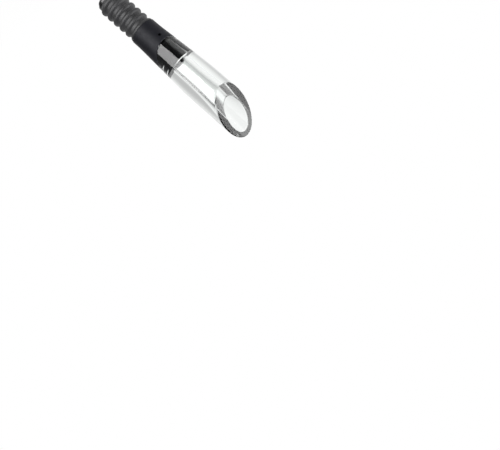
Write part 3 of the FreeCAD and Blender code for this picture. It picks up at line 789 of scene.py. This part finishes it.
def make_stem():
    """The rigid tube through the stopper, with its flange, seal groove and rounded foot."""
    size = sizes()
    foot, top = STEM_LOW.z, STEM_HIGH.z
    root = size.stem_radius - size.seal_depth
    outline = [
        (size.stem_bore, top),
        (size.stem_radius, top),
        (size.stem_radius, size.seal_high),
        (root, size.seal_high),
        (root, size.seal_low),
        (size.stem_radius, size.seal_low),
        (size.stem_radius, 0),
        (size.stem_flange, 0),
        (size.stem_flange, -size.stem_ledge),
        (size.stem_radius, -size.stem_ledge),
        (size.stem_radius, foot + size.stem_ledge),
        (size.stem_foot, foot + size.stem_ledge),
        (size.stem_foot, foot),
        (size.stem_bore, foot),
    ]
    top_corners, foot_corners = [0, 1], [11, 12, 13]
    mesh = spin_outline(outline, rounded=[(foot_corners, size.stem_round), (top_corners, size.stem_round / 2)])
    finish_piece("stem", mesh, "black_plastic", "pourer_body", "inlet_stem")


def make_breather():
    """The thin breather tube, cut at a slant at its lower end."""
    size = sizes()
    inner = size.tube_radius - size.tube_wall
    top, low = TUBE_HIGH.z, TUBE_LOW.z - size.tube_radius
    outline = [(inner, low), (size.tube_radius, low), (size.tube_radius, top), (inner, top)]
    top_corners = [2, 3]
    mesh = spin_outline(
        outline, steps=COARSE_STEPS, offset=size.tube_offset, rounded=[(top_corners, size.tube_round)]
    )
    cut = TUBE_LOW.z - (size.tube_offset + size.tube_radius) * math.tan(size.tube_slant)
    trim(mesh, cut, size.tube_slant, keep_above=True)
    rim = plane_edges(mesh, cut, size.tube_slant)
    round_edges(mesh, rim, size.tube_round, segments=COARSE_ROUND_SEGMENTS)
    finish_piece("breather", mesh, "tube_plastic", "breather", "breather_tube")


def wire_spans(across, reach, hole_place, hole):
    """The stretches of a wire at a distance across that lie inside the screen and outside its hole."""
    half = math.sqrt(max(reach * reach - across * across, 0))
    hole_across, hole_along = hole_place
    gap = hole * hole - (across - hole_across) ** 2
    if gap <= 0:
        return [(-half, half)]
    gap = math.sqrt(gap)
    return [(-half, hole_along - gap), (hole_along + gap, half)]


def add_wire(curve, across, start, end, along_x, phase):
    """One wavy wire of the screen, from start to end."""
    size = sizes()
    level = (SCREEN_LOW.z + SCREEN_HIGH.z) / 2
    rise = WIRE_WAVE * size.wire_radius
    steps = max(LEAST_WIRE_STEPS, int((end - start) / size.wire_pitch * WIRE_STEPS_PER_PITCH))
    spline = curve.splines.new("POLY")
    spline.points.add(steps)
    for step in range(steps + 1):
        along = start + (end - start) * step / steps
        wave = level + phase * rise * math.cos(math.pi * along / size.wire_pitch)
        point = (along, across, wave) if along_x else (across, along, wave)
        spline.points[step].co = (*point, 1)


def make_screen():
    """The woven wire screen of the strainer, cut round, with a hole for the breather tube."""
    size = sizes()
    curve = bpy.data.curves.new("wires", "CURVE")
    curve.dimensions = "3D"
    curve.bevel_depth = size.wire_radius
    curve.bevel_resolution = 1
    curve.use_fill_caps = True
    reach = size.screen_radius - size.wire_radius
    hole = size.screen_hole + size.wire_radius
    count = int(reach / size.wire_pitch)
    for along_x in (True, False):
        hole_place = (0.0, size.tube_offset) if along_x else (size.tube_offset, 0.0)
        for index in range(-count, count + 1):
            across = index * size.wire_pitch
            phase = (1 if index % 2 else -1) * (1 if along_x else -1)
            for start, end in wire_spans(across, reach, hole_place, hole):
                if end - start > size.wire_pitch:
                    add_wire(curve, across, start, end, along_x, phase)
    mesh = bmesh.new()
    mesh.from_mesh(settled(curve))
    finish_piece("woven_screen", mesh, "mesh_steel", "strainer", "strainer_mesh", sharp=WIRE_SHARP_ANGLE)


def finish_carried_nodes():
    """Gives every node that stays its procedural finish."""
    slots = {item["node"]: item["material_slot"] for item in frame["record"]["subparts"]}
    for name, node in frame["nodes"].items():
        slot = slots[name]
        for holder in node.material_slots:
            holder.material = material_of(slot)


class POURER_OT_spout(bpy.types.Operator):
    """Models the clear spout"""

    bl_idname = "pourer.spout"
    bl_label = "Clear spout"

    def execute(self, context):
        make_clear_spout()
        return {"FINISHED"}


class POURER_OT_collar(bpy.types.Operator):
    """Models the soft grip of the collar"""

    bl_idname = "pourer.collar"
    bl_label = "Collar"

    def execute(self, context):
        make_soft_grip()
        return {"FINISHED"}


class POURER_OT_insert(bpy.types.Operator):
    """Models the venturi insert"""

    bl_idname = "pourer.insert"
    bl_label = "Venturi insert"

    def execute(self, context):
        make_insert()
        return {"FINISHED"}


class POURER_OT_stopper(bpy.types.Operator):
    """Models the ribbed stopper and its stem"""

    bl_idname = "pourer.stopper"
    bl_label = "Stopper"

    def execute(self, context):
        make_ribbed_stopper()
        make_stem()
        return {"FINISHED"}


class POURER_OT_breather(bpy.types.Operator):
    """Models the breather tube and the woven screen"""

    bl_idname = "pourer.breather"
    bl_label = "Breather and screen"

    def execute(self, context):
        make_breather()
        make_screen()
        return {"FINISHED"}


class POURER_OT_finishes(bpy.types.Operator):
    """Finishes the nodes that stay"""

    bl_idname = "pourer.finishes"
    bl_label = "Finishes"

    def execute(self, context):
        finish_carried_nodes()
        return {"FINISHED"}


CAMERA_PLACE = (-0.45065, -0.27078, 0.19136)
CAMERA_TURN = (-81.839, -48.002, 109.492)
CAMERA_LENS = 57.6
CAMERA_SENSOR = 36.0
CAMERA_NEAR = 0.01

FLOOR_HEIGHT = -0.115
FLOOR_RADIUS = 0.12
SHADOW_RADIUS = 0.04
WHITE = (1, 1, 1, 1)

# Each lamp's name, place, target, sides, power, and the rays that don't see it.
LAMPS = (
    ("long_softbox", (-0.390, -0.482, -0.22), (0, 0, 0.03), (0.80, 0.44), 7.6, ("diffuse", "transmission")),
    ("side_softbox", (-0.167, 0.346, 0.545), (0, 0, 0.083), (0.57, 0.57), 2.9, ("transmission",)),
    ("soft_fill", (-0.5, -0.3, 0.6), (0, 0, 0.03), (0.7, 0.7), 4.3, ("glossy", "transmission")),
)

# Directions of the studio: BACK is away from the camera, and LOW_SIDE is the side that lies lower in the picture.
UP = (0, 0, 1)
BACK = (0.857, 0.515, 0.0)
LOW_SIDE = (0.434, -0.900, 0.0)
PLAIN_LEVEL = 0.52
# Panels for gloss: their turn in degrees from the back to the low side, and their level.
MIRRORED_PANELS = (
    (-180, 0.08), (-150, 0.05), (-127, 0.08), (-117, 0.95), (-85, 0.75), (-58, 1.0), (-7, 1.0), (33, 0.85),
    (48, 0.62), (65, 0.28), (115, 0.08), (180, 0.08),
)
STEEP_RANGE = (0.80, 0.92)
STEEP_LEVEL = 0.85
# The light room for the clear part, which dims on four sides.
ROOM_TURN = -0.314
ROOM_DIP = -0.42
# Its dark patch, low behind the pourer, for rays that have crossed fewer than PATCH_SURFACES.
PATCH_UP_RANGE = (-0.53, -0.44)
PATCH_AWAY_RANGE = (0.25, 0.45)
PATCH_LEVEL = 0.13
PATCH_SURFACES = 2.5
# The patch for rays that have also bounced.
BOUNCED_UP_RANGE = (-0.62, -0.55)
BOUNCED_AWAY_RANGE = (0.1, 0.25)
BOUNCED_LEVEL = 0.12
ONE_BOUNCE = 0.5


def add_lamp(name, place, target, sides, power, unseen_by):
    """A rectangular soft lamp at a place, facing a target, with its long side level."""
    data = bpy.data.lights.new(name, "AREA")
    data.shape = "RECTANGLE"
    data.size, data.size_y = sides
    data.energy = power
    lamp = bpy.data.objects.new(name, data)
    lamp.location = place
    lamp.rotation_mode = "QUATERNION"
    lamp.rotation_quaternion = (Vector(target) - Vector(place)).to_track_quat("-Z", "Y")
    for rays in unseen_by:
        setattr(lamp, "visible_" + rays, False)
    bpy.context.scene.collection.objects.link(lamp)


def add_camera():
    """The camera, at the picture's viewing angle."""
    data = bpy.data.cameras.new("camera")
    data.lens = CAMERA_LENS
    data.sensor_width = CAMERA_SENSOR
    data.clip_start = CAMERA_NEAR
    camera = bpy.data.objects.new("camera", data)
    camera.location = CAMERA_PLACE
    camera.rotation_euler = Euler([math.radians(turn) for turn in CAMERA_TURN])
    bpy.context.scene.collection.objects.link(camera)
    bpy.context.scene.camera = camera


def add_panels(wiring, turn):
    """The level of the panels round the pourer, by the turn of a ray from the back."""
    panels = wiring.add("ShaderNodeValToRGB", Fac=wiring.calculate("MULTIPLY_ADD", turn, 1 / FULL_TURN, 0.5))
    stops = panels.color_ramp.elements
    for degrees, level in MIRRORED_PANELS:
        stop = stops[0] if degrees == MIRRORED_PANELS[0][0] else stops.new(degrees / 360 + 0.5)
        stop.position = degrees / 360 + 0.5
        stop.color = (level, level, level, 1)
    stops.remove(stops[-1])
    return panels.outputs["Color"]


def make_world():
    """White for the camera, panels round the pourer for gloss, a light room for the clear part, and plain light."""
    world = bpy.data.worlds.new("studio")
    bpy.context.scene.world = world
    wiring = Wiring(world)
    calculate, ramp, blend = wiring.calculate, wiring.ramp, wiring.blend
    looking = wiring.add("ShaderNodeTexCoord").outputs["Generated"]
    path = wiring.add("ShaderNodeLightPath").outputs
    away, upward, aside = (
        calculate("DOT_PRODUCT", looking, direction, kind="ShaderNodeVectorMath")
        for direction in (BACK, UP, LOW_SIDE)
    )
    turn = calculate("ARCTAN2", aside, away)
    steep = ramp(calculate("ABSOLUTE", upward), 0, 1, *STEEP_RANGE)
    mirrored = blend(steep, add_panels(wiring, turn), STEEP_LEVEL)
    wave = calculate("SINE", calculate("MULTIPLY_ADD", turn, 2, ROOM_TURN))
    square = calculate("MULTIPLY", wave, wave)
    room = calculate("MULTIPLY_ADD", calculate("MULTIPLY", square, square), ROOM_DIP, 1)
    patch = calculate("MULTIPLY", ramp(upward, 1, 0, *PATCH_UP_RANGE), ramp(away, 0, 1, *PATCH_AWAY_RANGE))
    in_wall = calculate("LESS_THAN", path["Transmission Depth"], PATCH_SURFACES)
    seen_through = blend(calculate("MULTIPLY", patch, in_wall), room, PATCH_LEVEL)
    low = calculate("MULTIPLY", ramp(upward, 1, 0, *BOUNCED_UP_RANGE), ramp(away, 0, 1, *BOUNCED_AWAY_RANGE))
    bounced = calculate("GREATER_THAN", path["Glossy Depth"], ONE_BOUNCE)
    clear_level = blend(bounced, seen_through, blend(low, mirrored, BOUNCED_LEVEL))
    level = blend(path["Is Glossy Ray"], PLAIN_LEVEL, mirrored)
    level = blend(path["Is Transmission Ray"], level, clear_level)
    level = blend(path["Is Camera Ray"], level, 1.0)
    wiring.connect(wiring.nodes["Background"].inputs["Strength"], level)
    wiring.connect(wiring.nodes["Background"].inputs["Color"], WHITE)


def make_floor():
    """A round pale floor that shows white and keeps the object's shadow."""
    mesh = bmesh.new()
    bmesh.ops.create_circle(mesh, cap_ends=True, segments=COARSE_STEPS, radius=FLOOR_RADIUS)
    bmesh.ops.translate(mesh, verts=mesh.verts, vec=(0, 0, FLOOR_HEIGHT))
    data = bpy.data.meshes.new("floor")
    mesh.to_mesh(data)
    mesh.free()
    floor = bpy.data.objects.new("floor", data)
    bpy.context.scene.collection.objects.link(floor)
    finish = Finish("pale_floor", finishes().floor, 0.8)
    finish.drive("Roughness", finish.ramp(finish.noise(20 * MM, detail=3.0), 0.75, 0.9))
    path = finish.add("ShaderNodeLightPath").outputs
    seen = finish.calculate("MAXIMUM", path["Is Camera Ray"], path["Is Transmission Ray"])
    seen_or_mirrored = finish.calculate("MAXIMUM", seen, path["Is Glossy Ray"])
    distance = finish.calculate("LENGTH", finish.place, kind="ShaderNodeVectorMath")
    near, far = (math.hypot(radius, FLOOR_HEIGHT) for radius in (SHADOW_RADIUS, FLOOR_RADIUS))
    white_share = finish.calculate("MULTIPLY", seen_or_mirrored, finish.ramp(distance, 0.8, 1.0, near, far))
    white = finish.add("ShaderNodeEmission", Color=WHITE, Strength=1.0)
    finish.cover(white_share, white.outputs["Emission"])
    data.materials.append(finish.material)


class POURER_OT_stage(bpy.types.Operator):
    """Adds the floor, the lamps and the camera"""

    bl_idname = "pourer.stage"
    bl_label = "Stage"

    def execute(self, context):
        context.scene.view_settings.view_transform = "Standard"
        make_world()
        make_floor()
        add_camera()
        for lamp in LAMPS:
            add_lamp(*lamp)
        return {"FINISHED"}


class POURER_PT_panel(bpy.types.Panel):
    """Steps that build the pourer"""

    bl_label = "Pourer"
    bl_space_type = "VIEW_3D"
    bl_region_type = "UI"
    bl_category = "Pourer"

    def draw(self, context):
        for operator in OPERATORS:
            self.layout.operator(operator.bl_idname)


OPERATORS = (
    POURER_OT_spout,
    POURER_OT_collar,
    POURER_OT_insert,
    POURER_OT_stopper,
    POURER_OT_breather,
    POURER_OT_finishes,
    POURER_OT_stage,
)
CLASSES = (PourerSizes, PourerFinishes) + OPERATORS + (POURER_PT_panel,)


def register():
    """Registers the classes and their properties."""
    for item in CLASSES:
        bpy.utils.register_class(item)
    bpy.types.Scene.pourer_sizes = bpy.props.PointerProperty(type=PourerSizes)
    bpy.types.Scene.pourer_finishes = bpy.props.PointerProperty(type=PourerFinishes)


def unregister():
    """Removes the properties and the classes."""
    del bpy.types.Scene.pourer_finishes
    del bpy.types.Scene.pourer_sizes
    for item in reversed(CLASSES):
        bpy.utils.unregister_class(item)


def main():
    """Builds the pourer and its stage."""
    register()
    bpy.ops.pourer.spout()
    bpy.ops.pourer.collar()
    bpy.ops.pourer.insert()
    bpy.ops.pourer.stopper()
    bpy.ops.pourer.breather()
    bpy.ops.pourer.finishes()
    bpy.ops.pourer.stage()


if __name__ == "__main__":
    main()
